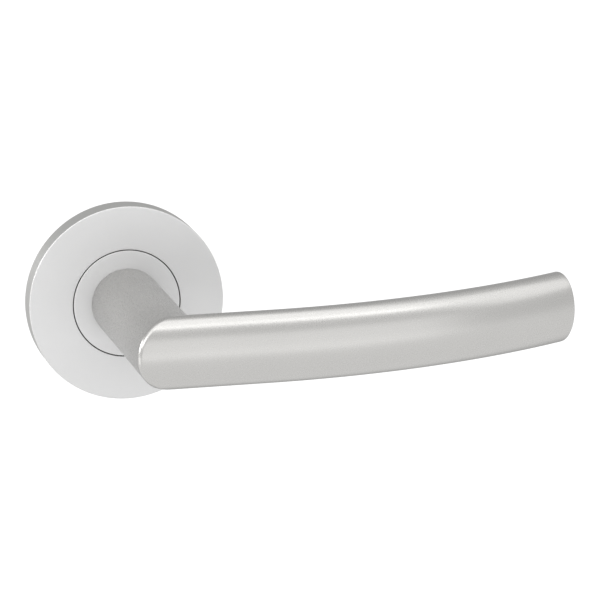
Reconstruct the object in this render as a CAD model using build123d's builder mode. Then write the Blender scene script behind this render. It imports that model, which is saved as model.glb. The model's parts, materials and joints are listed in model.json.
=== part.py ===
from build123d import *
import math
import os

os.makedirs("parts", exist_ok=True)

# Door lever handle on a round rose, one half of a door set, in millimetres.
# The origin is on the spindle axis at the door face. +Y goes into the door, +Z is up,
# and the grip points to +X. A depth is a distance out from the door face, towards -Y.
# The lever turns about +Y, so a positive angle presses the grip down.

# Rose
rose_dia = 52.0
rose_height = 6.5
cover_wall = 1.0
cover_edge_radius = 0.3
skirt_gap = 0.6  # housing rim to cover skirt
notch_width = 5.0  # where a screwdriver lifts the cover off
notch_height = 1.2
plate_thickness = 1.5
housing_floor = 0.75
housing_rim = 1.0  # wall left outside the spring pockets
pocket_wall = 1.0  # wall between the driver and a spring

# Turning collar and driver
collar_dia = 28.4
collar_gap = 0.25  # the thin dark ring round the collar
collar_edge = 0.2
driver_wall = 2.15
driver_arm_width = 3.2
driver_arm_overlap = 3.5  # how far an arm reaches past its spring
drive_step = 1.1  # the driving section stands proud of the spigot
lever_travel = 40.0

# Lever
tube_dia = 18.8
tube_wall = 1.5
grip_thickness = 11.9
projection = 60.0  # door face to the grip's centre line
straight_length = 24.5
bow_radius = 175.0
lever_length = 112.6  # along the centre line, from the spindle axis to the end
grip_end_radius = 0.5
cap_thickness = 2.5
cap_recess = 0.3

# Neck insert and bearing
insert_reach = 42.0
spigot_step = 0.35
bush_wall = 1.0
bush_flange = 0.6
boss_wall = 1.8
boss_reach = 3.0  # the boss enters the door's spindle hole by this much
washer_thickness = 0.8
disc_spring_height = 0.9
disc_spring_thickness = 0.4
clip_thickness = 1.0
clip_width = 1.8
groove_depth = 0.35
spigot_tail = 1.2  # spigot left behind the clip

# Spindle and its screw
spindle_size = 8.0
spindle_depth = 30.0
spindle_reach = 55.0
spindle_chamfer = 0.5
grub_dia = 6.0
grub_depth = 14.0
grub_recess = 0.4
grub_socket = 3.0
grub_socket_depth = 2.5
grub_point = 0.6

# Fixing to the door
screw_inset = 5.4  # housing rim to screw, which gives the 38 mm pitch
screw_dia = 4.0
screw_shank_dia = 3.5
screw_length = 20.0
screw_head_dia = 7.8
screw_head_height = 2.6
screw_slot = 0.9
screw_slot_length = 4.6
screw_slot_depth = 1.4
post_dia = 7.5
post_reach = 8.0
post_spigot_dia = 6.0
post_seat = 0.5  # the post's shoulder is sunk into the plate by this much

# Small parts
spring_wire = 0.6
spring_coils = 15
rivet_dia = 2.0
rivet_head_dia = 3.6
rivet_head_height = 0.7
rivet_inset = 3.4  # housing rim to rivet
rivet_angles = (24, 135, 204, 315)
snap_wire = 1.0
snap_bite = 0.15  # how far the ring enters the skirt
snap_opening = 10.0

# Clearances
slip = 0.05  # parts that slide together once
running = 0.06  # radial, in the bearing
end_play = 0.05
moving_gap = 0.3  # between parts that pass each other
spring_gap = 0.2
head_room = 0.4  # driver arm to cover
stop_gap = 0.15  # driver arm to stop wall

# Depths
plate_front = plate_thickness
cover_inside = rose_height - cover_wall
collar_back = cover_inside - head_room
bush_seat = plate_front + housing_floor
bush_front = bush_seat + bush_flange
driver_back = bush_front + end_play
housing_front = cover_inside - spring_gap
spring_depth = (plate_front + collar_back) / 2
rivet_seat = plate_front + rivet_head_height + housing_floor
washer_front = -boss_reach - end_play
washer_back = washer_front - washer_thickness
clip_front = washer_back - disc_spring_height
clip_back = clip_front - clip_thickness
spigot_end = clip_back - slip - spigot_tail

# Radii
tube_radius = tube_dia / 2
bore_radius = tube_radius - tube_wall
insert_radius = bore_radius - slip
spigot_radius = insert_radius - spigot_step
drive_radius = spigot_radius + drive_step
drive_flat = spigot_radius + 2 * slip
driver_radius = drive_radius + driver_wall
bush_bore = spigot_radius + running
bush_radius = bush_bore + bush_wall
boss_radius = bush_radius + slip + boss_wall
groove_radius = spigot_radius - groove_depth
collar_radius = collar_dia / 2
skirt_radius = rose_dia / 2 - cover_wall
housing_radius = skirt_radius - skirt_gap
screw_offset = housing_radius - screw_inset
rivet_offset = housing_radius - rivet_inset
spring_dia = collar_back - plate_front - 2 * spring_gap
pocket_half_width = spring_dia / 2 + spring_gap
driver_bay = driver_radius + moving_gap
spring_offset = driver_bay + pocket_wall + pocket_half_width
arm_radius = spring_offset + spring_dia / 2 + driver_arm_overlap
arm_foot = driver_bay + pocket_wall
snap_radius = skirt_radius + snap_bite - snap_wire / 2

# The driver's first arm points this way at rest, and its second arm the other way
arm_angle = 90 + lever_travel / 2
lean = math.radians(lever_travel / 2)

# Spring ends: the face of the resting arm on the near side, the pocket's end on the far side
spring_low = spring_offset - spring_dia / 2
face_run = (spring_low - driver_arm_width / 2 * math.sin(lean)) / math.cos(lean)
arm_face = driver_arm_width / 2 * math.cos(lean) - face_run * math.sin(lean)
pocket_corner = spring_offset + pocket_half_width
pocket_end = math.sqrt((housing_radius - housing_rim) ** 2 - pocket_corner**2)
spring_start = arm_face + spring_gap + spring_wire / 2
spring_finish = pocket_end - slip - spring_wire / 2


def facing(depth):
    """A plane parallel to the door, at this depth, that looks out from it."""
    return Plane(origin=(0, -depth, 0), x_dir=(1, 0, 0), z_dir=(0, -1, 0))


def through_axis(angle):
    """A plane that holds the Y axis, with its x direction this many degrees from +X."""
    turn = math.radians(angle)
    return Plane(
        origin=(0, 0, 0),
        x_dir=(math.cos(turn), 0, math.sin(turn)),
        z_dir=(-math.sin(turn), 0, math.cos(turn)),
    )


def save(part, name):
    part.label = name
    export_step(part, f"parts/{name}.step")


def double_d(radius, flat):
    """A round section with two flats, above and below the axis."""
    with BuildSketch(mode=Mode.PRIVATE) as section:
        Circle(radius)
        Rectangle(2 * radius, 2 * flat, mode=Mode.INTERSECT)
    return section.sketch


def arm_sweep(inner_radius):
    """The area that both driver arms cross in the full travel, outside this radius."""
    reach = arm_radius + moving_gap
    width = driver_arm_width + 2 * stop_gap
    half = lever_travel / 2
    with BuildSketch(mode=Mode.PRIVATE) as area:
        for side in (90, 270):
            with BuildLine():
                start = PolarLocations(reach, 1, start_angle=side - half).locations[0]
                middle = PolarLocations(reach, 1, start_angle=side).locations[0]
                finish = PolarLocations(reach, 1, start_angle=side + half).locations[0]
                arc = ThreePointArc(start.position, middle.position, finish.position)
                Line((0, 0), arc @ 0)
                Line(arc @ 1, (0, 0))
            make_face()
            for angle in (side - half, side + half):
                with Locations(Rotation(0, 0, angle)):
                    Rectangle(reach, width, align=(Align.MIN, Align.CENTER))
        Circle(reach, mode=Mode.INTERSECT)
        Circle(inner_radius, mode=Mode.SUBTRACT)
    return area.sketch


# ---------------------------------------------------------------- lever

grip_slope = (grip_thickness / 2) / tube_radius
mitre_normal = (-grip_slope, 1, 0)
mitre = Plane(origin=(0, -projection, 0), x_dir=(0, 0, 1), z_dir=mitre_normal)
bow_angle = math.degrees((lever_length - straight_length) / bow_radius)
grip_overrun = tube_dia  # extra length behind the mitre, cut away
grub_bore = Plane(origin=(0, -grub_depth, 0), x_dir=(1, 0, 0), z_dir=(0, 0, -1))

with BuildPart() as neck:
    with BuildSketch(facing(rose_height)):
        Circle(tube_radius)
        Circle(bore_radius, mode=Mode.SUBTRACT)
    extrude(amount=projection)
    split(bisect_by=mitre, keep=Keep.TOP)
    with BuildSketch(grub_bore):
        Circle(grub_dia / 2 + slip)
    extrude(amount=tube_dia, mode=Mode.SUBTRACT)
save(neck.part, "neck")

with BuildLine() as grip_line:
    stub = Line((-grip_overrun, -projection, 0), (straight_length, -projection, 0))
    bow = JernArc(start=stub @ 1, tangent=stub % 1, radius=bow_radius, arc_size=bow_angle)
grip_start = Plane(origin=stub @ 0, x_dir=(0, 1, 0), z_dir=stub % 0)
grip_end = Plane(origin=bow @ 1, x_dir=(bow % 1).cross(Vector(0, 0, -1)), z_dir=bow % 1)

with BuildPart() as grip:
    with BuildSketch(grip_start):
        Ellipse(grip_thickness / 2, tube_radius)
    sweep(path=grip_line.line)
    fillet(grip.faces().sort_by(Axis.X)[-1].edges(), grip_end_radius)
    with BuildSketch(grip_start):
        Ellipse(grip_thickness / 2 - tube_wall, bore_radius)
    sweep(path=grip_line.line, mode=Mode.SUBTRACT)
    split(bisect_by=mitre, keep=Keep.BOTTOM)
save(grip.part, "grip")

with BuildPart() as grip_end_cap:
    with BuildSketch(grip_end.offset(-cap_recess)):
        Ellipse(grip_thickness / 2 - tube_wall - slip, bore_radius - slip)
    extrude(amount=-cap_thickness)
save(grip_end_cap.part, "grip_end_cap")

with BuildPart() as neck_insert:
    with BuildSketch(facing(spigot_end)):
        Circle(spigot_radius)
    extrude(amount=insert_reach - spigot_end)
    with BuildSketch(facing(driver_back)):
        add(double_d(drive_radius, drive_flat))
    extrude(amount=rose_height - driver_back)
    with BuildSketch(facing(rose_height)):
        Circle(insert_radius)
    extrude(amount=insert_reach - rose_height)
    with BuildSketch(facing(clip_back - slip)):
        Circle(spigot_radius + slip)
        Circle(groove_radius, mode=Mode.SUBTRACT)
    extrude(amount=clip_thickness + 2 * slip, mode=Mode.SUBTRACT)
    with BuildSketch(facing(spigot_end)):
        Rectangle(spindle_size + 2 * slip, spindle_size + 2 * slip)
    extrude(amount=spindle_depth + slip - spigot_end, mode=Mode.SUBTRACT)
    with BuildSketch(grub_bore):
        Circle(grub_dia / 2 + slip)
    extrude(amount=tube_dia, mode=Mode.SUBTRACT)
save(neck_insert.part, "neck_insert")

with BuildPart() as bearing_collar:
    with BuildSketch(facing(collar_back)):
        Circle(collar_radius)
        add(double_d(drive_radius + slip, drive_flat + slip), mode=Mode.SUBTRACT)
    extrude(amount=rose_height - collar_back)
    rim = bearing_collar.edges().filter_by(GeomType.CIRCLE).sort_by(SortBy.RADIUS)[-2:]
    fillet(rim.sort_by(Axis.Y)[0], collar_edge)
save(bearing_collar.part, "bearing_collar")

with BuildPart() as spring_driver:
    with BuildSketch(facing(driver_back)):
        Circle(driver_radius)
        Rectangle(2 * arm_radius, driver_arm_width, rotation=arm_angle)
        Circle(arm_radius, mode=Mode.INTERSECT)
    extrude(amount=collar_back - driver_back)
    with BuildSketch(facing(plate_front + moving_gap)):
        Rectangle(2 * arm_radius, driver_arm_width, rotation=arm_angle)
        Circle(arm_radius, mode=Mode.INTERSECT)
        Circle(arm_foot, mode=Mode.SUBTRACT)
    extrude(amount=collar_back - plate_front - moving_gap)
    with BuildSketch(facing(driver_back)):
        add(double_d(drive_radius + slip, drive_flat + slip))
    extrude(amount=collar_back - driver_back, mode=Mode.SUBTRACT)
save(spring_driver.part, "spring_driver")

with BuildPart() as thrust_washer:
    with BuildSketch(facing(washer_back)):
        Circle(boss_radius)
        Circle(spigot_radius + spring_gap, mode=Mode.SUBTRACT)
    extrude(amount=washer_thickness)
save(thrust_washer.part, "thrust_washer")

# A shallow cone: its outer edge bears on the washer and its inner edge on the clip
with BuildPart() as disc_spring:
    with BuildSketch(Plane.XY):
        Polygon(
            (spigot_radius + spring_gap, -clip_front),
            (spigot_radius + spring_gap, -clip_front - disc_spring_thickness),
            (boss_radius - spring_gap, -washer_back),
            (boss_radius - spring_gap, -washer_back + disc_spring_thickness),
            align=None,
        )
    revolve(axis=Axis.Y)
save(disc_spring.part, "disc_spring")

clip_radius = groove_radius + slip
clip_ear = clip_width * 0.8
ear_places = [(side * clip_width, clip_radius + clip_ear) for side in (-1, 1)]
with BuildPart() as retaining_circlip:
    with BuildSketch(facing(clip_back)):
        Circle(clip_radius + clip_width)
        with Locations(ear_places):
            Circle(clip_ear)
        Circle(clip_radius, mode=Mode.SUBTRACT)
        with Locations(ear_places):
            Circle(clip_ear / 2, mode=Mode.SUBTRACT)
        with Locations((0, clip_radius)):
            Rectangle(clip_width / 2, 4 * clip_width, mode=Mode.SUBTRACT)
    extrude(amount=clip_thickness)
save(retaining_circlip.part, "retaining_circlip")

with BuildPart() as spindle:
    with BuildSketch(facing(-spindle_reach)):
        Rectangle(spindle_size, spindle_size)
    extrude(amount=spindle_reach + spindle_depth)
    ends = spindle.faces().filter_by(Axis.Y)
    chamfer(ends.edges(), spindle_chamfer)
save(spindle.part, "spindle")

grub_length = tube_radius - grub_recess - spindle_size / 2
grub_seat = grub_bore.offset(spindle_size / 2)
with BuildPart() as grub_screw:
    with BuildSketch(grub_seat):
        Circle(grub_dia / 2)
    extrude(amount=grub_length)
    chamfer(grub_screw.edges().sort_by(Axis.Z)[-1], grub_point)
    with BuildSketch(grub_seat.offset(grub_length)):
        RegularPolygon(grub_socket / 2, 6, major_radius=False)
    extrude(amount=-grub_socket_depth, mode=Mode.SUBTRACT)
save(grub_screw.part, "grub_screw")

# ---------------------------------------------------------------- rose

with BuildPart() as rose_cover:
    with BuildSketch(facing(0)):
        Circle(rose_dia / 2)
    extrude(amount=rose_height)
    fillet(rose_cover.edges().sort_by(Axis.Y)[0], cover_edge_radius)
    with BuildSketch(facing(0)):
        Circle(skirt_radius)
    extrude(amount=cover_inside, mode=Mode.SUBTRACT)
    with BuildSketch(facing(0)):
        Circle(collar_radius + collar_gap)
    extrude(amount=rose_height, mode=Mode.SUBTRACT)
    with BuildSketch(Plane.XY):
        with Locations((snap_radius, -spring_depth)):
            Circle(snap_wire / 2 + slip)
    revolve(axis=Axis.Y, mode=Mode.SUBTRACT)
    with BuildSketch(facing(0)):
        with Locations((0, -rose_dia / 2)):
            Rectangle(notch_width, 4 * cover_wall)
    extrude(amount=notch_height, mode=Mode.SUBTRACT)
save(rose_cover.part, "rose_cover")

screw_places = [(-screw_offset, 0), (screw_offset, 0)]
rivet_places = [
    (rivet_offset * math.cos(turn), rivet_offset * math.sin(turn))
    for turn in map(math.radians, rivet_angles)
]

with BuildPart() as mounting_plate:
    with BuildSketch(facing(0)):
        Circle(housing_radius)
        Circle(boss_radius + spring_gap, mode=Mode.SUBTRACT)
        with Locations(screw_places):
            Circle(post_spigot_dia / 2 + slip, mode=Mode.SUBTRACT)
        with Locations(rivet_places):
            Circle(rivet_dia / 2 + slip, mode=Mode.SUBTRACT)
    extrude(amount=plate_thickness)
    with BuildSketch(facing(0)):
        with Locations(screw_places):
            Circle(post_dia / 2 + slip)
    extrude(amount=post_seat, mode=Mode.SUBTRACT)
save(mounting_plate.part, "mounting_plate")

with BuildPart() as screw_posts:
    with BuildSketch(facing(-post_reach)):
        with Locations(screw_places):
            Circle(post_dia / 2)
    extrude(amount=post_reach + post_seat)
    with BuildSketch(facing(0)):
        with Locations(screw_places):
            Circle(post_spigot_dia / 2)
    extrude(amount=plate_thickness)
    with BuildSketch(facing(-post_reach)):
        with Locations(screw_places):
            Circle(screw_dia / 2 + spring_gap)
    extrude(amount=post_reach + plate_thickness, mode=Mode.SUBTRACT)
save(screw_posts.part, "screw_posts")

with BuildPart() as fixing_screws:
    with BuildSketch(facing(plate_front)):
        with Locations(screw_places):
            Circle(screw_head_dia / 2)
    extrude(amount=screw_head_height)
    crowns = fixing_screws.edges().group_by(Axis.Y)[0]
    fillet(crowns, screw_head_height / 3)
    with BuildSketch(facing(plate_front)):
        with Locations(screw_places):
            Circle(screw_shank_dia / 2)
    extrude(amount=-plate_front - post_reach)
    with BuildSketch(facing(-post_reach)):
        with Locations(screw_places):
            Circle(screw_dia / 2)
    extrude(amount=plate_front + post_reach - screw_length)
    tips = fixing_screws.edges().group_by(Axis.Y)[-1]
    chamfer(tips, screw_dia / 8)
    with BuildSketch(facing(plate_front + screw_head_height)):
        with Locations(screw_places):
            Rectangle(screw_slot, screw_slot_length)
            Rectangle(screw_slot_length, screw_slot)
    extrude(amount=-screw_slot_depth, mode=Mode.SUBTRACT)
save(fixing_screws.part, "fixing_screws")

with BuildPart() as spring_housing:
    with BuildSketch(facing(plate_front)):
        Circle(housing_radius)
    extrude(amount=housing_front - plate_front)
    chamfer(spring_housing.edges().sort_by(Axis.Y)[0], moving_gap)
    with BuildSketch(facing(-boss_reach)):
        Circle(boss_radius)
    extrude(amount=boss_reach + plate_front)
    # room for the collar, the driver and the flange of the bush
    for radius, depth in (
        (collar_radius + moving_gap, collar_back - spring_gap),
        (driver_bay, driver_back - moving_gap),
        (boss_radius + slip, bush_seat),
        (bush_radius + slip, -boss_reach),
    ):
        with BuildSketch(facing(depth)):
            Circle(radius)
        extrude(amount=rose_height - depth, mode=Mode.SUBTRACT)
    # windows for the arms, whose side walls are the end stops, and the spring pockets
    with BuildSketch(facing(driver_back - moving_gap)):
        add(arm_sweep(drive_radius))
    extrude(amount=rose_height, mode=Mode.SUBTRACT)
    with BuildSketch(facing(plate_front)):
        add(arm_sweep(arm_foot - moving_gap))
        for side in (1, -1):
            with Locations((side * pocket_end / 2, side * spring_offset)):
                Rectangle(pocket_end, 2 * pocket_half_width)
        with Locations(screw_places):
            Circle(screw_head_dia / 2 + moving_gap)
    extrude(amount=rose_height, mode=Mode.SUBTRACT)
    with BuildSketch(facing(plate_front)):
        with Locations(rivet_places):
            Circle(rivet_dia / 2 + slip)
    extrude(amount=rose_height, mode=Mode.SUBTRACT)
    with BuildSketch(facing(rivet_seat)):
        with Locations(rivet_places):
            Circle(rivet_head_dia / 2 + slip)
    extrude(amount=rose_height, mode=Mode.SUBTRACT)
    with BuildSketch(Plane.XY):
        with Locations((snap_radius, -spring_depth)):
            Rectangle(snap_wire + 2 * slip, snap_wire + 2 * slip)
    revolve(axis=Axis.Y, mode=Mode.SUBTRACT)
save(spring_housing.part, "spring_housing")

with BuildPart() as bearing_bush:
    with BuildSketch(facing(-boss_reach)):
        Circle(bush_radius)
    extrude(amount=boss_reach + bush_seat)
    with BuildSketch(facing(bush_seat)):
        Circle(boss_radius)
    extrude(amount=bush_flange)
    with BuildSketch(facing(-boss_reach)):
        Circle(bush_bore)
    extrude(amount=boss_reach + bush_front, mode=Mode.SUBTRACT)
save(bearing_bush.part, "bearing_bush")

with BuildPart() as plate_rivets:
    with BuildSketch(facing(0)):
        with Locations(rivet_places):
            Circle(rivet_dia / 2)
    extrude(amount=rivet_seat)
    with BuildSketch(facing(rivet_seat)):
        with Locations(rivet_places):
            Circle(rivet_head_dia / 2)
    extrude(amount=rivet_head_height)
save(plate_rivets.part, "plate_rivets")

with BuildPart() as cover_snap_ring:
    with BuildSketch(through_axis(-90 - snap_opening / 2)):
        with Locations((snap_radius, -spring_depth)):
            Circle(snap_wire / 2)
    revolve(axis=Axis.Y, revolution_arc=360 - snap_opening)
save(cover_snap_ring.part, "cover_snap_ring")

# The upper spring lies right of the upper arm, and the lower spring left of the lower arm
spring_pitch = (spring_finish - spring_start) / spring_coils
for name, side in (("upper_return_spring", 1), ("lower_return_spring", -1)):
    with BuildPart() as return_spring:
        with BuildLine():
            coil = Helix(
                pitch=spring_pitch,
                height=spring_finish - spring_start,
                radius=(spring_dia - spring_wire) / 2,
                center=(side * spring_start, -spring_depth, side * spring_offset),
                direction=(side, 0, 0),
            )
        with BuildSketch(Plane(origin=coil @ 0, z_dir=coil % 0)):
            Circle(spring_wire / 2)
        sweep(path=coil, is_frenet=True)
    save(return_spring.part, name)
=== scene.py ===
# %% [markdown]
# # A lever handle on a round rose
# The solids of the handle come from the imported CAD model. This lesson gives every piece its
# finish, models again the pieces whose looks need finer shapes than a CAD solid has, and then
# adds the light and the camera. Everything is in metres. The spindle's axis is the Y axis, the
# door's face is y = 0, the handle stands out of it towards -Y, and the grip points to +X.

# %% Load the frame
import json
import math

import bmesh
import bpy
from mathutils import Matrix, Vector


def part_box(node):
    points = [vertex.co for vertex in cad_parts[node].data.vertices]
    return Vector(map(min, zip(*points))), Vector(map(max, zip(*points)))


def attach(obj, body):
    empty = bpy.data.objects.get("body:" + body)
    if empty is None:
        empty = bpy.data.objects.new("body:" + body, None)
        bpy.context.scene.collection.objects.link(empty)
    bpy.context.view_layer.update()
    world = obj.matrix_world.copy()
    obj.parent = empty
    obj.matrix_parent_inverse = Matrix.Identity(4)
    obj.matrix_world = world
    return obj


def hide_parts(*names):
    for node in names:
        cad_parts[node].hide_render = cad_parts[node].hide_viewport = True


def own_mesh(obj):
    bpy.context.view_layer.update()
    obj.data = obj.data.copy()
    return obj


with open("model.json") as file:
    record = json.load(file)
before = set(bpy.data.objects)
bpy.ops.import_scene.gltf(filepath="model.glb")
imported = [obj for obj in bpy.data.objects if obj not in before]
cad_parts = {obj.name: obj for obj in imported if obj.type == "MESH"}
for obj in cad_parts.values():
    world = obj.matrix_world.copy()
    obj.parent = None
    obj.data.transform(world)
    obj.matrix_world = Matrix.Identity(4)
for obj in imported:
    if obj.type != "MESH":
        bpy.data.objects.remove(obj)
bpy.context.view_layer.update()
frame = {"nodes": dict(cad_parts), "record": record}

MM = 0.001
nodes = frame["nodes"]
bodies = frame["record"]["behaviour"]["bodies"]
body_of = {node: body for body, members in bodies.items() for node in members}
slot_of = {part["node"]: part["material_slot"] for part in frame["record"]["subparts"]}

# %% [markdown]
# ## Helpers for finishes
# A finish is a tree of nodes. One function turns the hex value of a colour, as a screen shows it,
# into the linear numbers that the renderer uses, and one adds a node with its settings and links.
# Each pattern takes its scale from a real size: object coordinates are in metres, so a texture
# scale of 1 / size gives features about that large.


# %% Colour and node helpers
def linear(hex_colour):
    """The linear RGBA of an sRGB hex colour such as "c8c9ca"."""
    channels = [int(hex_colour[i : i + 2], 16) / 255 for i in (0, 2, 4)]
    return (*[c / 12.92 if c <= 0.04045 else ((c + 0.055) / 1.055) ** 2.4 for c in channels], 1.0)


def per_size(size_mm):
    """The texture scale whose features are about this many millimetres across."""
    return 1 / (size_mm * MM)


def add_node(tree, kind, settings=None, inputs=None):
    """Add a node. An input is a number or colour to set, or another node's output to link."""
    node = tree.nodes.new(kind)
    for name, value in (settings or {}).items():
        setattr(node, name, value)
    for name, value in (inputs or {}).items():
        if isinstance(value, bpy.types.NodeSocket):
            tree.links.new(value, node.inputs[name])
        else:
            node.inputs[name].default_value = value
    return node


def start_finish(name, fixed):
    """A new material whose shader has its fixed inputs set: (material, tree, shader, place)."""
    material = bpy.data.materials.new(name)
    material.use_nodes = True
    tree = material.node_tree
    tree.nodes.clear()
    shader = add_node(tree, "ShaderNodeBsdfPrincipled", inputs=fixed)
    add_node(tree, "ShaderNodeOutputMaterial", inputs={"Surface": shader.outputs["BSDF"]})
    place = add_node(tree, "ShaderNodeTexCoord").outputs["Object"]
    return material, tree, shader, place


FACTOR, COLOUR_A, COLOUR_B, COLOUR_OUT = 0, 6, 7, 2  # sockets of a Mix node that mixes colours
NOISE_SPAN = {"From Min": 0.3, "From Max": 0.7}  # nearly all of a noise texture lies in between
print("linear mid grey:", [round(c, 3) for c in linear("808080")])

# %% [markdown]
# ## Satin anodised aluminium
# Every piece that a hand or an eye meets is aluminium, etched in caustic soda and then anodised
# to a natural silver. The etch leaves a very fine, even grain, so there is no brushing to see and
# highlights are wide and soft. The oxide film is clear and hard, it dulls the metal to a light
# neutral grey, and it scatters a small share of the light, so Metallic is a little below 1. The
# grain is about 0.05 mm, too fine to show, so it is drawn at 0.3 mm.

# %% Aluminium
anodised_aluminium, tree, shader, place = start_finish(
    "satin_anodised_aluminium", {"Metallic": 0.85, "Specular Tint": linear("f6f6f6")}
)
etched_grain = add_node(
    tree,
    "ShaderNodeTexNoise",
    inputs={"Vector": place, "Scale": per_size(0.3), "Detail": 3.0, "Roughness": 0.6},
)
film_cloud = add_node(
    tree,
    "ShaderNodeTexNoise",
    inputs={"Vector": place, "Scale": per_size(18), "Detail": 2.0},
)
film_colour = add_node(
    tree,
    "ShaderNodeMix",
    {"data_type": "RGBA"},
    {FACTOR: film_cloud.outputs["Fac"], COLOUR_A: linear("b6b5b3"), COLOUR_B: linear("bab9b7")},
)
grain_gloss = add_node(
    tree,
    "ShaderNodeMapRange",
    inputs={"Value": etched_grain.outputs["Fac"], **NOISE_SPAN, "To Min": 0.265, "To Max": 0.295},
)
grain_bump = add_node(
    tree,
    "ShaderNodeBump",
    inputs={"Height": etched_grain.outputs["Fac"], "Strength": 0.12, "Distance": 0.004 * MM},
)
tree.links.new(film_colour.outputs[COLOUR_OUT], shader.inputs["Base Color"])
tree.links.new(grain_gloss.outputs["Result"], shader.inputs["Roughness"])
tree.links.new(grain_bump.outputs["Normal"], shader.inputs["Normal"])
print("finish:", anodised_aluminium.name)

# %% [markdown]
# ## Matt anodised aluminium
# The rose and its collar are pressed and turned, and their flat faces are ground before they are
# anodised. The film on a ground face is rough and scatters more than half of the light in all
# directions, so the face looks evenly lit and hardly mirrors the grip in front of it. Metallic
# below 1 gives the shader that scattered share. The skirt was ironed smooth by the press tool, so
# it stays a satin mirror, and the direction of the surface's normal tells the two apart.

# %% Matt aluminium
matt_aluminium, tree, shader, place = start_finish(
    "matt_anodised_aluminium", {"Specular Tint": linear("d8d8d8")}
)
own_normal = add_node(
    tree,
    "ShaderNodeSeparateXYZ",
    inputs={"Vector": add_node(tree, "ShaderNodeTexCoord").outputs["Normal"]},
)
on_skirt = add_node(
    tree,
    "ShaderNodeMapRange",
    inputs={"Value": own_normal.outputs["Y"], "From Min": -0.95, "From Max": -0.5},
)
matt_grain = add_node(
    tree,
    "ShaderNodeTexNoise",
    inputs={"Vector": place, "Scale": per_size(0.3), "Detail": 3.0, "Roughness": 0.6},
)
matt_cloud = add_node(
    tree,
    "ShaderNodeTexNoise",
    inputs={"Vector": place, "Scale": per_size(14), "Detail": 2.0},
)
face_colour = add_node(
    tree,
    "ShaderNodeMix",
    {"data_type": "RGBA"},
    {FACTOR: matt_cloud.outputs["Fac"], COLOUR_A: linear("c9c9c9"), COLOUR_B: linear("cdcdcd")},
)
matt_colour = add_node(
    tree,
    "ShaderNodeMix",
    {"data_type": "RGBA"},
    {
        FACTOR: on_skirt.outputs["Result"],
        COLOUR_A: face_colour.outputs[COLOUR_OUT],
        COLOUR_B: linear("d2d2d0"),
    },
)
matt_metal = add_node(
    tree,
    "ShaderNodeMapRange",
    inputs={"Value": on_skirt.outputs["Result"], "To Min": 0.32, "To Max": 1.0},
)
matt_gloss = add_node(
    tree,
    "ShaderNodeMapRange",
    inputs={"Value": matt_grain.outputs["Fac"], **NOISE_SPAN, "To Min": 0.38, "To Max": 0.46},
)
matt_bump = add_node(
    tree,
    "ShaderNodeBump",
    inputs={"Height": matt_grain.outputs["Fac"], "Strength": 0.3, "Distance": 0.004 * MM},
)
tree.links.new(matt_colour.outputs[COLOUR_OUT], shader.inputs["Base Color"])
tree.links.new(matt_metal.outputs["Result"], shader.inputs["Metallic"])
tree.links.new(matt_gloss.outputs["Result"], shader.inputs["Roughness"])
tree.links.new(matt_bump.outputs["Normal"], shader.inputs["Normal"])
print("finish:", matt_aluminium.name)

# %% [markdown]
# ## Cast zinc
# The insert in the neck and the driver in the rose are pressure die castings, left as they come
# out of the mould. The skin of a casting is a mid grey with faint flow marks, and duller than the
# aluminium. The flow marks are drawn as clouds about 4 mm across that are longer along the part.

# %% Zinc
cast_zinc, tree, shader, place = start_finish("die_cast_zinc", {"Metallic": 1.0})
along_the_spindle = add_node(
    tree, "ShaderNodeMapping", inputs={"Vector": place, "Scale": (1.0, 0.35, 1.0)}
)
flow_marks = add_node(
    tree,
    "ShaderNodeTexNoise",
    inputs={"Vector": along_the_spindle.outputs["Vector"], "Scale": per_size(4), "Detail": 4.0},
)
casting_skin = add_node(
    tree,
    "ShaderNodeTexNoise",
    inputs={"Vector": place, "Scale": per_size(0.25), "Detail": 2.0},
)
zinc_colour = add_node(
    tree,
    "ShaderNodeMix",
    {"data_type": "RGBA"},
    {FACTOR: flow_marks.outputs["Fac"], COLOUR_A: linear("9a9ca0"), COLOUR_B: linear("b3b4b6")},
)
zinc_gloss = add_node(
    tree,
    "ShaderNodeMapRange",
    inputs={"Value": flow_marks.outputs["Fac"], **NOISE_SPAN, "To Min": 0.36, "To Max": 0.5},
)
zinc_bump = add_node(
    tree,
    "ShaderNodeBump",
    inputs={"Height": casting_skin.outputs["Fac"], "Strength": 0.5, "Distance": 0.01 * MM},
)
tree.links.new(zinc_colour.outputs[COLOUR_OUT], shader.inputs["Base Color"])
tree.links.new(zinc_gloss.outputs["Result"], shader.inputs["Roughness"])
tree.links.new(zinc_bump.outputs["Normal"], shader.inputs["Normal"])
print("finish:", cast_zinc.name)

# %% [markdown]
# ## Zinc-plated steel
# The plate, posts, washer and screws are mild steel with bright zinc and a clear blue passivation.
# The passivation is a film so thin that it tints the metal blue in one place and straw in another.
# The tints are drawn as soft clouds about 9 mm across over a fine rolled grain.

# %% Plated steel
zinc_plated_steel, tree, shader, place = start_finish("bright_zinc_plate", {"Metallic": 1.0})
passivation = add_node(
    tree,
    "ShaderNodeTexNoise",
    inputs={"Vector": place, "Scale": per_size(9), "Detail": 3.0, "Distortion": 0.6},
)
blue_to_straw = add_node(
    tree,
    "ShaderNodeMapRange",
    inputs={"Value": passivation.outputs["Fac"], "From Min": 0.35, "From Max": 0.65},
)
plating_colour = add_node(
    tree,
    "ShaderNodeMix",
    {"data_type": "RGBA"},
    {
        FACTOR: blue_to_straw.outputs["Result"],
        COLOUR_A: linear("c0c7d1"),
        COLOUR_B: linear("d0cdc0"),
    },
)
across_the_roll = add_node(
    tree, "ShaderNodeMapping", inputs={"Vector": place, "Scale": (0.06, 1.0, 1.0)}
)
rolled_grain = add_node(
    tree,
    "ShaderNodeTexNoise",
    inputs={"Vector": across_the_roll.outputs["Vector"], "Scale": per_size(0.2), "Detail": 3.0},
)
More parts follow.
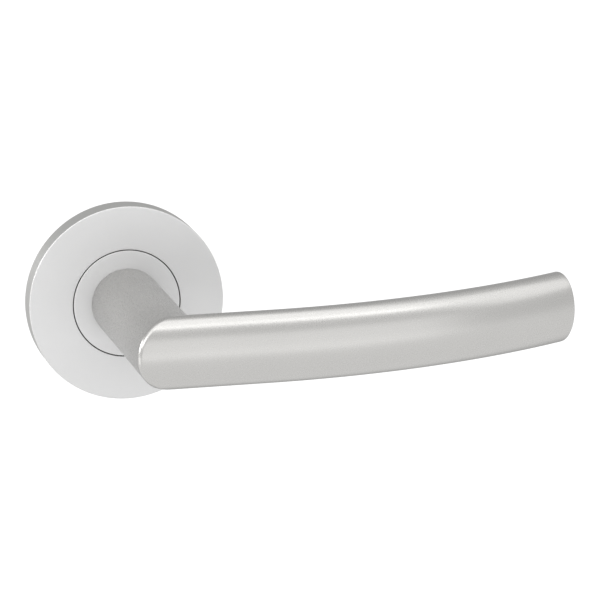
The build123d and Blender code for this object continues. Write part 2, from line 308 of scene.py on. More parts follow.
plating_gloss = add_node(
    tree,
    "ShaderNodeMapRange",
    inputs={"Value": rolled_grain.outputs["Fac"], **NOISE_SPAN, "To Min": 0.24, "To Max": 0.36},
)
plating_bump = add_node(
    tree,
    "ShaderNodeBump",
    inputs={"Height": rolled_grain.outputs["Fac"], "Strength": 0.35, "Distance": 0.006 * MM},
)
tree.links.new(plating_colour.outputs[COLOUR_OUT], shader.inputs["Base Color"])
tree.links.new(plating_gloss.outputs["Result"], shader.inputs["Roughness"])
tree.links.new(plating_bump.outputs["Normal"], shader.inputs["Normal"])
print("finish:", zinc_plated_steel.name)

# %% [markdown]
# ## Cold-drawn steel
# The spindle is square bar pulled through a die, and the rivets are cut from drawn wire. Drawing
# leaves straight lines along the bar, about 0.1 mm apart, which are drawn at 0.15 mm so that they
# show. The metal is bare under a film of oil, so it is darker and glossier than the plating.

# %% Drawn steel
bright_steel, tree, shader, place = start_finish("cold_drawn_steel", {"Metallic": 1.0})
along_the_bar = add_node(
    tree, "ShaderNodeMapping", inputs={"Vector": place, "Scale": (1.0, 0.01, 1.0)}
)
die_lines = add_node(
    tree,
    "ShaderNodeTexNoise",
    inputs={"Vector": along_the_bar.outputs["Vector"], "Scale": per_size(0.15), "Detail": 3.0},
)
oil_film = add_node(
    tree,
    "ShaderNodeTexNoise",
    inputs={"Vector": place, "Scale": per_size(7), "Detail": 3.0},
)
steel_colour = add_node(
    tree,
    "ShaderNodeMix",
    {"data_type": "RGBA"},
    {FACTOR: oil_film.outputs["Fac"], COLOUR_A: linear("a3a19e"), COLOUR_B: linear("b5b4b2")},
)
steel_gloss = add_node(
    tree,
    "ShaderNodeMapRange",
    inputs={"Value": die_lines.outputs["Fac"], **NOISE_SPAN, "To Min": 0.2, "To Max": 0.34},
)
steel_bump = add_node(
    tree,
    "ShaderNodeBump",
    inputs={"Height": die_lines.outputs["Fac"], "Strength": 0.5, "Distance": 0.006 * MM},
)
tree.links.new(steel_colour.outputs[COLOUR_OUT], shader.inputs["Base Color"])
tree.links.new(steel_gloss.outputs["Result"], shader.inputs["Roughness"])
tree.links.new(steel_bump.outputs["Normal"], shader.inputs["Normal"])
print("finish:", bright_steel.name)

# %% [markdown]
# ## Oiled spring steel
# The return springs, the disc spring, the circlip and the snap ring are hardened spring steel.
# Tempering and phosphate leave it dark grey, and oil gives it a low gloss with darker stains.

# %% Spring steel
spring_steel, tree, shader, place = start_finish("oiled_spring_steel", {"Metallic": 0.9})
oil_stains = add_node(
    tree,
    "ShaderNodeTexNoise",
    inputs={"Vector": place, "Scale": per_size(2.5), "Detail": 4.0},
)
phosphate = add_node(
    tree,
    "ShaderNodeTexNoise",
    inputs={"Vector": place, "Scale": per_size(0.12), "Detail": 2.0},
)
spring_colour = add_node(
    tree,
    "ShaderNodeMix",
    {"data_type": "RGBA"},
    {FACTOR: oil_stains.outputs["Fac"], COLOUR_A: linear("4d4b49"), COLOUR_B: linear("75736f")},
)
spring_gloss = add_node(
    tree,
    "ShaderNodeMapRange",
    inputs={"Value": oil_stains.outputs["Fac"], **NOISE_SPAN, "To Min": 0.26, "To Max": 0.44},
)
spring_bump = add_node(
    tree,
    "ShaderNodeBump",
    inputs={"Height": phosphate.outputs["Fac"], "Strength": 0.4, "Distance": 0.005 * MM},
)
tree.links.new(spring_colour.outputs[COLOUR_OUT], shader.inputs["Base Color"])
tree.links.new(spring_gloss.outputs["Result"], shader.inputs["Roughness"])
tree.links.new(spring_bump.outputs["Normal"], shader.inputs["Normal"])
print("finish:", spring_steel.name)

# %% [markdown]
# ## Black oxide
# The grub screw is alloy steel, blackened in a hot bath. The oxide is a thin matt skin, and it
# wears to bare steel on edges that a key or a chuck has touched. Pointiness finds those edges.

# %% Blackened steel
blackened_steel, tree, shader, place = start_finish("black_oxide_steel", {"Metallic": 0.85})
edges = add_node(tree, "ShaderNodeNewGeometry").outputs["Pointiness"]
worn_edges = add_node(
    tree,
    "ShaderNodeMapRange",
    inputs={"Value": edges, "From Min": 0.53, "From Max": 0.62},
)
oxide_grain = add_node(
    tree,
    "ShaderNodeTexNoise",
    inputs={"Vector": place, "Scale": per_size(0.2), "Detail": 3.0},
)
oxide_colour = add_node(
    tree,
    "ShaderNodeMix",
    {"data_type": "RGBA"},
    {FACTOR: worn_edges.outputs["Result"], COLOUR_A: linear("232325"), COLOUR_B: linear("6f6d6b")},
)
oxide_gloss = add_node(
    tree,
    "ShaderNodeMapRange",
    inputs={"Value": oxide_grain.outputs["Fac"], **NOISE_SPAN, "To Min": 0.35, "To Max": 0.5},
)
tree.links.new(oxide_colour.outputs[COLOUR_OUT], shader.inputs["Base Color"])
tree.links.new(oxide_gloss.outputs["Result"], shader.inputs["Roughness"])
print("finish:", blackened_steel.name)

# %% [markdown]
# ## Glass-filled nylon
# The spring housing is moulded in black nylon with short glass fibre, which is stiff enough to
# hold a bearing. The mould was spark eroded, which gives a fine matt texture of about 0.15 mm,
# and fibres near the skin show as faint grey flecks.

# %% Black nylon
black_nylon, tree, shader, place = start_finish(
    "glass_filled_nylon", {"Metallic": 0.0, "IOR": 1.53}
)
fibre_flow = add_node(
    tree, "ShaderNodeMapping", inputs={"Vector": place, "Scale": (0.25, 1.0, 1.0)}
)
fibres = add_node(
    tree,
    "ShaderNodeTexNoise",
    inputs={"Vector": fibre_flow.outputs["Vector"], "Scale": per_size(0.35), "Detail": 3.0},
)
spark_texture = add_node(
    tree,
    "ShaderNodeTexNoise",
    inputs={"Vector": place, "Scale": per_size(0.15), "Detail": 1.0},
)
flecks = add_node(
    tree,
    "ShaderNodeMapRange",
    inputs={"Value": fibres.outputs["Fac"], "From Min": 0.55, "From Max": 0.75},
)
nylon_colour = add_node(
    tree,
    "ShaderNodeMix",
    {"data_type": "RGBA"},
    {FACTOR: flecks.outputs["Result"], COLOUR_A: linear("1b1b1c"), COLOUR_B: linear("343537")},
)
nylon_gloss = add_node(
    tree,
    "ShaderNodeMapRange",
    inputs={"Value": spark_texture.outputs["Fac"], **NOISE_SPAN, "To Min": 0.45, "To Max": 0.6},
)
nylon_bump = add_node(
    tree,
    "ShaderNodeBump",
    inputs={"Height": spark_texture.outputs["Fac"], "Strength": 0.5, "Distance": 0.01 * MM},
)
tree.links.new(nylon_colour.outputs[COLOUR_OUT], shader.inputs["Base Color"])
tree.links.new(nylon_gloss.outputs["Result"], shader.inputs["Roughness"])
tree.links.new(nylon_bump.outputs["Normal"], shader.inputs["Normal"])
print("finish:", black_nylon.name)

# %% [markdown]
# ## Turned acetal
# The bearing bush is turned from white acetal bar, a slippery and slightly waxy plastic. The tool
# leaves rings 0.2 mm apart round the Y axis, and light goes a little way into the plastic.

# %% White acetal
acetal_look = {
    "Metallic": 0.0,
    "IOR": 1.48,
    "Roughness": 0.3,
    "Subsurface Weight": 0.2,
    "Subsurface Scale": 0.5 * MM,
    "Subsurface Radius": (1.0, 0.9, 0.8),
}
white_acetal, tree, shader, place = start_finish("turned_acetal", acetal_look)
tool_rings = add_node(
    tree,
    "ShaderNodeTexWave",
    {"wave_type": "RINGS", "rings_direction": "Y"},
    {"Vector": place, "Scale": per_size(0.2) / 20, "Distortion": 0.3},
)
waxy_cloud = add_node(
    tree,
    "ShaderNodeTexNoise",
    inputs={"Vector": place, "Scale": per_size(5), "Detail": 2.0},
)
acetal_colour = add_node(
    tree,
    "ShaderNodeMix",
    {"data_type": "RGBA"},
    {FACTOR: waxy_cloud.outputs["Fac"], COLOUR_A: linear("e4e2da"), COLOUR_B: linear("efeee8")},
)
acetal_bump = add_node(
    tree,
    "ShaderNodeBump",
    inputs={"Height": tool_rings.outputs["Fac"], "Strength": 0.4, "Distance": 0.01 * MM},
)
tree.links.new(acetal_colour.outputs[COLOUR_OUT], shader.inputs["Base Color"])
tree.links.new(acetal_bump.outputs["Normal"], shader.inputs["Normal"])
print("finish:", white_acetal.name)

# %% [markdown]
# ## Give every solid its finish
# The record names a material slot for each node, and the first table gives each slot its finish.
# The second names the two nodes whose aluminium is matt.

# %% Finishes on the solids
finish_of = {
    "anodised_aluminium": anodised_aluminium,
    "cast_zinc": cast_zinc,
    "zinc_plated_steel": zinc_plated_steel,
    "bright_steel": bright_steel,
    "spring_steel": spring_steel,
    "blackened_steel": blackened_steel,
    "black_nylon": black_nylon,
    "white_acetal": white_acetal,
}
matt_nodes = ("rose_cover", "bearing_collar")
finish_on = {node: finish_of[slot] for node, slot in slot_of.items()}
finish_on.update({node: matt_aluminium for node in matt_nodes})
for name, solid in nodes.items():
    for material_slot in solid.material_slots:
        material_slot.material = finish_on[name]
print("finished solids:", len(nodes))

# %% [markdown]
# ## Helpers for shapes
# Most pieces of a handle are drawn tube, turned bar or bent wire: a section that travels along a
# path. Each is modelled as a loft, which is rings of points, each joined to the next. A closed
# loft joins its last ring to its first, which gives a tube its wall. An open one is capped.


# %% Lofts
def steps(start, end, count):
    """Numbers spread evenly from start to end, both included."""
    return [start + (end - start) * i / (count - 1) for i in range(count)]


def loft(rings, closed, shape=None):
    """Join rings of points, in millimetres, each to the next, in a new shape or a given one."""
    shape = shape or bmesh.new()
    rows = [[shape.verts.new(Vector(point) * MM) for point in ring] for ring in rings]
    pairs = list(zip(rows, rows[1:]))
    if closed:
        pairs.append((rows[-1], rows[0]))
    else:
        shape.faces.new(rows[0])
        shape.faces.new(rows[-1])
    for row, following in pairs:
        for k, point in enumerate(row):
            j = (k + 1) % len(row)
            shape.faces.new((point, row[j], following[j], following[k]))
    return shape


def keep_edges_crisp(shape, sharp_deg=32):
    """Turn all faces outwards and mark the edges that should not be shaded as round."""
    bmesh.ops.recalc_face_normals(shape, faces=shape.faces)
    for face in shape.faces:
        face.smooth = True
    for edge in shape.edges:
        edge.smooth = edge.is_manifold and edge.calc_face_angle() < math.radians(sharp_deg)


def stand_in(name, shape, node):
    """Make a piece from a shape, with the body and the finish of the CAD node it stands for."""
    keep_edges_crisp(shape)
    mesh = bpy.data.meshes.new(name)
    shape.to_mesh(mesh)
    shape.free()
    mesh.materials.append(finish_on[node])
    piece = bpy.data.objects.new(name, mesh)
    bpy.context.scene.collection.objects.link(piece)
    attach(piece, body_of[node])
    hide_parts(node)
    return piece


print("five steps from 0 to 1:", steps(0, 1, 5))

# %% [markdown]
# Holes, notches and slots are cut into a finished loft, as in a workshop. The tool is a closed
# shape of its own, and a boolean takes it away from the piece.


# %% Cutters
def cutter(name, shape):
    """A closed shape as an object, ready for cut()."""
    bmesh.ops.recalc_face_normals(shape, faces=shape.faces)
    tool = bpy.data.objects.new(name, bpy.data.meshes.new(name))
    shape.to_mesh(tool.data)
    shape.free()
    bpy.context.scene.collection.objects.link(tool)
    return tool


def cut(piece, tool):
    """Take the tool away from the piece, throw the tool away and return the number of faces."""
    difference = piece.modifiers.new("cut", "BOOLEAN")
    difference.object = tool
    difference.solver = "EXACT"
    carved = bmesh.new()
    carved.from_object(piece, bpy.context.evaluated_depsgraph_get())
    piece.modifiers.remove(difference)
    keep_edges_crisp(carved)
    carved.to_mesh(piece.data)
    carved.free()
    bpy.data.objects.remove(tool)
    return len(piece.data.polygons)


# %% [markdown]
# ## The neck and the grip
# The lever is two pieces of tube. The neck is round, the grip is oval, and they are as high as
# each other, so a slanted cut through both gives the same outline and they meet edge to edge. On
# the real lever that mitre is bonded and then linished, which rounds it by about a millimetre,
# and the rounded edge catches a thin line of light. Every point of a ring runs along a straight
# line to the mitre, turns through a small arc, and goes on along the grip. The neck takes the
# first half of the arc and the grip the second, so the seam lies in the rounding.

# %% Sizes of the lever
tube_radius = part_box("neck")[1].z / MM
front_face = -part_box("neck")[0].y / MM
neck_foot = -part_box("neck")[1].y / MM
projection = 60.0
straight_length = 24.5
bow_radius = 175.0
lever_length = 112.6
tube_wall = 1.5
mitre_round = 1.2
seam_deg = 45  # how far round the arc of the mitre the neck ends and the grip starts
edge_round = 0.5
segments = 144
half_thickness = front_face - projection
mitre_slope = half_thickness / tube_radius
turns = [2 * math.pi * k / segments for k in range(segments)]
print("tube radius", round(tube_radius, 3), "half thickness of the grip", round(half_thickness, 3))


# %% Rings of the mitre
def corner(turn):
    """Where the neck's line at this turn meets the grip's line."""
    across = tube_radius * math.cos(turn)
    return across, -projection + mitre_slope * across, tube_radius * math.sin(turn)


def mitre_ring(angle_deg):
    """The ring this far round the arc between the neck and the grip."""
    lag = mitre_round * (1 - math.cos(math.radians(angle_deg)))
    lead = mitre_round * (1 - math.sin(math.radians(angle_deg)))
    return [(x + lag, y + lead, z) for x, y, z in map(corner, turns)]


seam = mitre_round * (1 - math.cos(math.radians(seam_deg)))
seam_shift = seam * (1 - mitre_slope)


def bore_at_mitre(half_width, half_height, neck_side):
    """The ring where a bore meets the plane of the mitre."""
    ring = []
    for turn in turns:
        if neck_side:
            x = half_width * math.cos(turn)
            y = -projection + mitre_slope * x + seam_shift
        else:
            y = -projection + half_width * math.cos(turn)
            x = (y + projection - seam_shift) / mitre_slope
        ring.append((x, y, half_height * math.sin(turn)))
    return ring


print("corner of the mitre on the outside of the bend:", [round(c, 2) for c in corner(math.pi)])


# %% The neck
def neck_circle(radius, depth):
    """A circle round the spindle's axis, this far in front of the door."""
    return [(radius * math.cos(turn), -depth, radius * math.sin(turn)) for turn in turns]


def between(ring, following, share):
    """The ring this share of the way from one ring to another."""
    return [Vector(a).lerp(Vector(b), share) for a, b in zip(ring, following)]


foot_round = 0.15
neck_bore = tube_radius - tube_wall
foot_rings = []
for a in steps(0, math.pi / 2, 4):
    radius = tube_radius - foot_round * (1 - math.sin(a))
    foot_rings.append(neck_circle(radius, neck_foot + foot_round * (1 - math.cos(a))))
neck_start, neck_end = foot_rings[-1], mitre_ring(0)
neck_shares = (0.01, *steps(0.04, 0.96, 20), 0.99)
neck_rings = foot_rings + [between(neck_start, neck_end, share) for share in neck_shares]
neck_rings += [mitre_ring(a) for a in steps(0, seam_deg, 6)]
bore_end = bore_at_mitre(neck_bore, neck_bore, neck_side=True)
bore_start = neck_circle(neck_bore, neck_foot)
neck_rings += [between(bore_end, bore_start, share) for share in steps(0, 1, 12)]
mitred_neck = stand_in("mitred_neck", loft(neck_rings, closed=True), "neck")
print("neck faces:", len(mitred_neck.data.polygons))

# %% [markdown]
# The grub screw goes in from below, through a drilled and lightly countersunk hole. A drill is a
# turned shape, so the tool that cuts the hole is a loft of circles too.

# %% The hole for the grub screw
grub_low, grub_high = [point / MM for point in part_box("grub_screw")]
drill_slip = 0.05
drill_radius = (grub_high.x - grub_low.x) / 2 + drill_slip
hole_y = (grub_low.y + grub_high.y) / 2
countersink = 0.3
drill_line = [
    (drill_radius, 0),
    (drill_radius, tube_radius - countersink),
    (drill_radius + 3 * countersink, tube_radius + 2 * countersink),
]
drill_rings = [
    [(radius * math.cos(a), hole_y + radius * math.sin(a), -height) for a in turns[::2]]
    for radius, height in drill_line
]
drill = cutter("drill", loft(drill_rings, closed=False))
print("neck faces with its hole:", cut(mitred_neck, drill))

# %% [markdown]
# Beyond the mitre the grip runs straight for a little and then bows towards the door on a large
# radius. A ring of it is an oval square to its centre line. At the free end the rim is rounded by
# half a millimetre outside, where the fingers meet it, and just broken inside.


# %% The grip
def grip_oval(run, inset=0.0):
    """The oval at this run along the grip's centre line, smaller all round by inset."""
    bend = max(0.0, run - straight_length) / bow_radius
    x = min(run, straight_length) + bow_radius * math.sin(bend)
    y = -projection + bow_radius * (1 - math.cos(bend))
    ring = []
    for turn in turns:
        inwards = (half_thickness - inset) * math.cos(turn)
        height = (tube_radius - inset) * math.sin(turn)
        ring.append((x - inwards * math.sin(bend), y + inwards * math.cos(bend), height))
    return ring


rim_break = 0.15
grip_rings = [mitre_ring(a) for a in steps(seam_deg, 90, 6)]
bow_start = grip_oval(straight_length)
grip_rings += [between(grip_rings[-1], bow_start, share) for share in (0.02, *steps(0.1, 1, 8))]
grip_rings += [grip_oval(run) for run in steps(straight_length, lever_length - edge_round, 64)[1:]]
grip_rings += [
    grip_oval(lever_length - edge_round * (1 - math.sin(a)), edge_round * (1 - math.cos(a)))
    for a in steps(0, math.pi / 2, 7)[1:]
]
for a in steps(0, math.pi / 2, 4):
    run = lever_length - rim_break * (1 - math.cos(a))
    grip_rings.append(grip_oval(run, tube_wall - rim_break * (1 - math.sin(a))))
grip_rings += [grip_oval(run, tube_wall) for run in steps(lever_length - 1, straight_length, 32)]
grip_rings.append(bore_at_mitre(half_thickness - tube_wall, neck_bore, neck_side=False))
bowed_grip = stand_in("bowed_grip", loft(grip_rings, closed=True), "grip")
print("grip faces:", len(bowed_grip.data.polygons))

# %% [markdown]
# The end cap is a flat plug, pressed into the grip until it sits 0.3 mm below the rim. It is cut
# to the oval of the bore, a hair smaller, with its outer edge broken so that it starts easily.

# %% The end cap
cap_recess = 0.3
cap_thickness = 2.5
cap_slip = 0.05
cap_break = 0.2
cap_face = lever_length - cap_recess
cap_inset = tube_wall + cap_slip
cap_runs = steps(cap_face - cap_thickness, cap_face - cap_break, 4)
cap_rings = [grip_oval(run, cap_inset) for run in cap_runs]
cap_rings += [
    grip_oval(cap_face - cap_break * (1 - math.sin(a)), cap_inset + cap_break * (1 - math.cos(a)))
    for a in steps(0, math.pi / 2, 5)[1:]
]
cap_rings += [grip_oval(cap_face, cap_inset + inset) for inset in (0.5, 2.0)]
pressed_cap = stand_in("pressed_cap", loft(cap_rings, closed=False), "grip_end_cap")
print("end cap faces:", len(pressed_cap.data.polygons))

# %% [markdown]
# ## The rose cover and the collar
# Both are turned and pressed round the spindle's axis, so each is a profile of radius and depth
# that goes once round. The cover is a shallow cup of 1 mm sheet. Its front edge is rounded by
# 0.3 mm, and the rim of its hole is only broken, like the edge of the collar that turns in it.
# The gap between them is 0.25 mm, which shows as one thin dark ring with a lit edge.


# %% Turned profiles
def turned(profile, count=192):
    """Rings for a closed profile of (radius, depth) pairs, in millimetres."""
    around = [2 * math.pi * k / count for k in range(count)]
    return [
        [(radius * math.cos(a), -depth, radius * math.sin(a)) for a in around]
        for radius, depth in profile
    ]


def rounding(radius, depth, edge, start_deg, end_deg, count=5):
    """Profile points of a round edge about a centre, from one direction to another."""
    return [
        (radius + edge * math.cos(math.radians(a)), depth + edge * math.sin(math.radians(a)))
        for a in steps(start_deg, end_deg, count)
    ]


rose_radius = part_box("rose_cover")[1].x / MM
rose_height = -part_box("rose_cover")[0].y / MM
collar_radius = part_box("bearing_collar")[1].x / MM
collar_back = -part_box("bearing_collar")[1].y / MM
back_edge = 0.1
print(f"radius of the rose {rose_radius:.1f} mm, of the collar {collar_radius:.1f} mm")

# %% The cover
cover_wall = 1.0
cover_edge = 0.3
hole_gap = 0.25
hole_edge = 0.08
inner_corner = 0.5
groove_radius = 0.55  # of the groove for the snap ring
groove_centre = 0.35  # how far inside the skirt the centre of its arc is
groove_depth = -(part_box("cover_snap_ring")[0].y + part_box("cover_snap_ring")[1].y) / 2 / MM
hole_radius = collar_radius + hole_gap
skirt_radius = rose_radius - cover_wall
ceiling = rose_height - cover_wall
cover_profile = [(rose_radius - back_edge, 0), (rose_radius, back_edge)]
cover_profile += [(rose_radius, 2), (rose_radius, rose_height - 2 * cover_edge)]
cover_profile += rounding(rose_radius - cover_edge, rose_height - cover_edge, cover_edge, 0, 90, 7)
face_radii = steps(rose_radius - 2 * cover_edge, hole_radius + 2 * cover_edge, 7)
cover_profile += [(radius, rose_height) for radius in face_radii]
cover_profile += rounding(hole_radius + hole_edge, rose_height - hole_edge, hole_edge, 90, 180)
cover_profile += [(hole_radius, ceiling), (hole_radius + 3, ceiling)]
cover_profile += [(skirt_radius - inner_corner, ceiling), (skirt_radius, ceiling - inner_corner)]
cover_profile += [(skirt_radius, groove_depth + groove_radius)]
cover_profile += rounding(skirt_radius - groove_centre, groove_depth, groove_radius, 50, -50)
cover_profile += [(skirt_radius, groove_depth - groove_radius)]
cover_profile += [(skirt_radius, 1.5), (skirt_radius, 0)]
pressed_cover = stand_in("pressed_cover", loft(turned(cover_profile), closed=True), "rose_cover")
print("cover faces:", len(pressed_cover.data.polygons))

# %% [markdown]
# A small notch under the cover takes the screwdriver that lifts it off. The tool for it is a loft
# of two rounded rectangles, one below the rose and one inside it.

# %% The notch
notch_width = 5.0
notch_height = 1.2
notch_corner = 0.3


def notch_outline(z):
    """A rectangle with round inner corners, seen from below."""
    ring = [(-notch_width / 2, 1.0, z), (notch_width / 2, 1.0, z)]
    corners = ((notch_width / 2 - notch_corner, 0), (-notch_width / 2 + notch_corner, 90))
    for x, start in corners:
        for a in steps(start, start + 90, 5):
            turn = math.radians(a)
            y = -(notch_height - notch_corner) - notch_corner * math.sin(turn)
            ring.append((x + notch_corner * math.cos(turn), y, z))
    return ring


notch_ends = [notch_outline(-rose_radius - 1), notch_outline(-skirt_radius + 2)]
notch = cutter("notch", loft(notch_ends, closed=False))
print("cover faces with its notch:", cut(pressed_cover, notch))

# %% The collar
collar_edge = 0.12
drive_radius = 8.65  # of the round sides of its hole
drive_flat = 7.65  # from the axis to each of the hole's two flats
collar_profile = [(collar_radius - back_edge, collar_back)]
collar_profile += [(collar_radius, collar_back + back_edge), (collar_radius, rose_height - 0.4)]
corner_radius, corner_depth = collar_radius - collar_edge, rose_height - collar_edge
collar_profile += rounding(corner_radius, corner_depth, collar_edge, 0, 90, 6)
face_radii = steps(collar_radius - 0.5, tube_radius - 0.3, 5)
collar_profile += [(radius, rose_height) for radius in face_radii]
collar_rings = turned(collar_profile)
for depth in (rose_height, collar_back):
    flats = turned([(drive_radius, depth)])[0]
    collar_rings.append([(x, y, max(-drive_flat, min(drive_flat, z))) for x, y, z in flats])
turning_collar = stand_in("turning_collar", loft(collar_rings, closed=True), "bearing_collar")
print("collar faces:", len(turning_collar.data.polygons))

# %% [markdown]
# ## The spindle
# The spindle is a length of 8 mm square bar. The drawing die leaves its long edges slightly round,
# and both ends are chamfered so that they find the hole in the lock. The section is a square with
# round corners, and it shrinks towards each end to make the chamfer.

# %% Square bar
spindle_low, spindle_high = [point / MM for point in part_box("spindle")]
bar_half = spindle_high.x
bar_corner = 0.45
end_chamfer = 0.5


def bar_section(y, half):
    """A square with round corners, at one place along the Y axis."""
    ring = []
    for quarter in range(4):
        start = math.pi / 2 * quarter
        centre_x = (half - bar_corner) * (1 if quarter in (0, 3) else -1)
        centre_z = (half - bar_corner) * (1 if quarter in (0, 1) else -1)
        for a in steps(start, start + math.pi / 2, 6):
            x = centre_x + bar_corner * math.cos(a)
            ring.append((x, y, centre_z + bar_corner * math.sin(a)))
    return ring


full_size = steps(spindle_low.y + end_chamfer, spindle_high.y - end_chamfer, 9)
bar_rings = [bar_section(spindle_low.y, bar_half - end_chamfer)]
bar_rings += [bar_section(y, bar_half) for y in full_size]
bar_rings += [bar_section(spindle_high.y, bar_half - end_chamfer)]
square_bar = stand_in("square_bar", loft(bar_rings, closed=False), "spindle")
print("spindle", round(spindle_high.y - spindle_low.y, 1), "mm long")
print("spindle faces:", len(square_bar.data.polygons))

# %% [markdown]
# ## Fixing screws
# M4 screws have a rolled thread with a pitch of 0.7 mm. Rolling pushes metal up from a thinner
# blank, so the shank above the thread is thinner than the thread's crests. The thread is a loft
# whose radius rises and falls along the screw, a little later at each step of the turn, which
# makes one ridge that winds round. It grows out of the shank over one turn, as a rolled one does.

# %% Screw sizes and rings
screw_low, screw_high = [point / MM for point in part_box("fixing_screws")]
head_radius = screw_high.z
screw_offset = screw_high.x - head_radius
head_top = -screw_low.y
head_seat = 1.5
head_break = 0.1
head_crown = (head_top - head_seat) / 3
shank_radius = 1.75
thread_radius = 2.0
thread_pitch = 0.7
thread_depth = 0.61 * thread_pitch
thread_start = 8.0
crest_share = 1.25  # above 1, so that the ridge has a flat crest
point_length = 0.5
point_radius = thread_radius - thread_depth - 0.15
screw_sides = 32
rings_per_pitch = 8


def ridge(y, turn):
    """How far the thread stands above its root, from 0 to 1."""
    phase = ((y - thread_start) / thread_pitch - turn / (2 * math.pi)) % 1
    growth = min(1.0, (y - thread_start) / thread_pitch)
    return growth * min(1.0, crest_share * (1 - abs(2 * phase - 1)))


def screw_ring(x, y, radius, threaded=False):
    """One ring of a screw whose axis is at x."""
    ring = []
    for k in range(screw_sides):
        turn = 2 * math.pi * k / screw_sides
        reach = radius - thread_depth * (1 - ridge(y, turn)) if threaded else radius
        ring.append((x + reach * math.cos(turn), y, reach * math.sin(turn)))
    return ring


print("thread depth:", round(thread_depth, 3), "mm")


# %% Two screws
def screw_rings(x):
    """All rings of one screw, from the crown of its head to its point."""
    rings = [screw_ring(x, -head_top, radius) for radius in (0.8, 2.2)]
    crown = rounding(head_radius - head_crown, head_top - head_crown, head_crown, 90, 0, 7)
    rings += [screw_ring(x, -depth, radius) for radius, depth in crown]
    rings += [screw_ring(x, -head_seat - head_break, head_radius)]
    rings += [screw_ring(x, -head_seat, head_radius - head_break)]
    rings += [screw_ring(x, y, shank_radius) for y in (-head_seat, 2.0, thread_start - 0.2)]
    thread_end = screw_high.y - point_length
    ring_count = round((thread_end - thread_start) / thread_pitch * rings_per_pitch)
    for y in steps(thread_start, thread_end, ring_count):
        rings.append(screw_ring(x, y, thread_radius, threaded=True))
    rings += [screw_ring(x, screw_high.y, point_radius)]
    return rings


screw_shape = None
for side in (-1, 1):
    screw_shape = loft(screw_rings(side * screw_offset), closed=False, shape=screw_shape)
cross_head_screws = stand_in("cross_head_screws", screw_shape, "fixing_screws")
print("screw faces:", len(cross_head_screws.data.polygons))

# %% [markdown]
# A cross recess is two tapered slots, so a slab that narrows inwards cuts each screw twice.

# %% Cross recess
recess_top = (2.3, 0.48)  # half length and half width at the crown
recess_floor = (1.3, 0.3)
recess_depth = 1.4


def slab(x, along_x):
    """The tapered tool for one slot."""
    rings = []
    corners = ((1, 1), (-1, 1), (-1, -1), (1, -1))
    levels = ((recess_top, head_top + 0.01), (recess_floor, head_top - recess_depth))
    for (half_length, half_width), depth in levels:
        half_x, half_z = (half_length, half_width) if along_x else (half_width, half_length)
        rings.append([(x + sx * half_x, -depth, sz * half_z) for sx, sz in corners])
    return cutter("slab", loft(rings, closed=False))


for side in (-1, 1):
    for along_x in (True, False):
        faces = cut(cross_head_screws, slab(side * screw_offset, along_x))
print("screw faces with recesses:", faces)

# %% [markdown]
# ## Return springs
# Each spring is 0.6 mm wire wound 15 times. The first and last turns lie close, so that the spring
# has a square end to push with, and the turns between them are open. A ring of wire travels along
# the helix, square to it. When the lever goes down, the driver's arms press both springs towards
# their far ends.

# %% Spring sizes
wire_radius = 0.3
coils = 15
steps_per_coil = 24
wire_sides = 10
closed_pitch = 2 * wire_radius + 0.02


def travel(turns_wound, length):
    """How far along the spring its wire is after this many turns."""
    open_pitch = (length - 2 * closed_pitch) / (coils - 2)
    at_start = min(turns_wound, 1) * closed_pitch
    in_middle = min(max(turns_wound - 1, 0), coils - 2) * open_pitch
    at_end = max(turns_wound - coils + 1, 0) * closed_pitch
    return at_start + in_middle + at_end


solid_length = (coils + 1) * 2 * wire_radius
print("with its coils packed solid, a spring would be", round(solid_length, 1), "mm long")


# %% Two springs
def wound_spring(name, node, side):
    """A coil spring in the box of its CAD node. The end that the driver pushes is at -side."""
    low, high = [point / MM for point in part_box(node)]
    centre = (low + high) / 2
    coil_radius = (high.z - low.z) / 2 - wire_radius
    length = high.x - low.x - 2 * wire_radius
    near_end = centre.x - side * length / 2
    rings = []
    for i in range(coils * steps_per_coil + 1):
        turns_wound = i / steps_per_coil
        turn = 2 * math.pi * turns_wound
        outwards = Vector((0, math.cos(turn), math.sin(turn)))
        on_axis = Vector((near_end + side * travel(turns_wound, length), centre.y, centre.z))
        middle = on_axis + coil_radius * outwards
        ring = []
        for k in range(wire_sides):
            a = 2 * math.pi * k / wire_sides
            sideways = Vector((side * math.sin(a), 0, 0))
            ring.append(middle + wire_radius * (outwards * math.cos(a) + sideways))
        rings.append(ring)
    spring = stand_in(name, loft(rings, closed=False), node)
    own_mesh(spring)
    return spring


upper_spring = wound_spring("upper_coil_spring", "upper_return_spring", 1)
lower_spring = wound_spring("lower_coil_spring", "lower_return_spring", -1)
print("spring faces:", len(upper_spring.data.polygons), len(lower_spring.data.polygons))

# %% [markdown]
# ## Broken edges on the rest
# No real piece has a perfectly sharp edge: moulds round castings and mouldings, tumbling rounds
# stampings, and a file turned parts. The other pieces have the right shape as solids, so each is
# copied, its triangles are joined into flat faces, and its sharp edges are bevelled by the amount
# that its making leaves.


# %% Copies with broken edges
def with_broken_edges(name, node, edge_mm, sharp_deg=40):
    """A copy of a CAD node whose sharp edges are rounded by edge_mm."""
    shape = bmesh.new()
    shape.from_mesh(nodes[node].data)
    bmesh.ops.remove_doubles(shape, verts=shape.verts, dist=0.001 * MM)
    bmesh.ops.dissolve_limit(
        shape, angle_limit=math.radians(1), verts=shape.verts, edges=shape.edges
    )
    inner_edges = [edge for edge in shape.edges if edge.is_manifold]
    sharp = [edge for edge in inner_edges if edge.calc_face_angle() > math.radians(sharp_deg)]
    bmesh.ops.bevel(
        shape,
        geom=sharp,
        offset=edge_mm * MM,
        segments=2,
        profile=0.5,
        affect="EDGES",
        clamp_overlap=True,
    )
    piece = stand_in(name, shape, node)
    weights = piece.modifiers.new("even shading", "WEIGHTED_NORMAL")
    weights.keep_sharp = True
    return piece


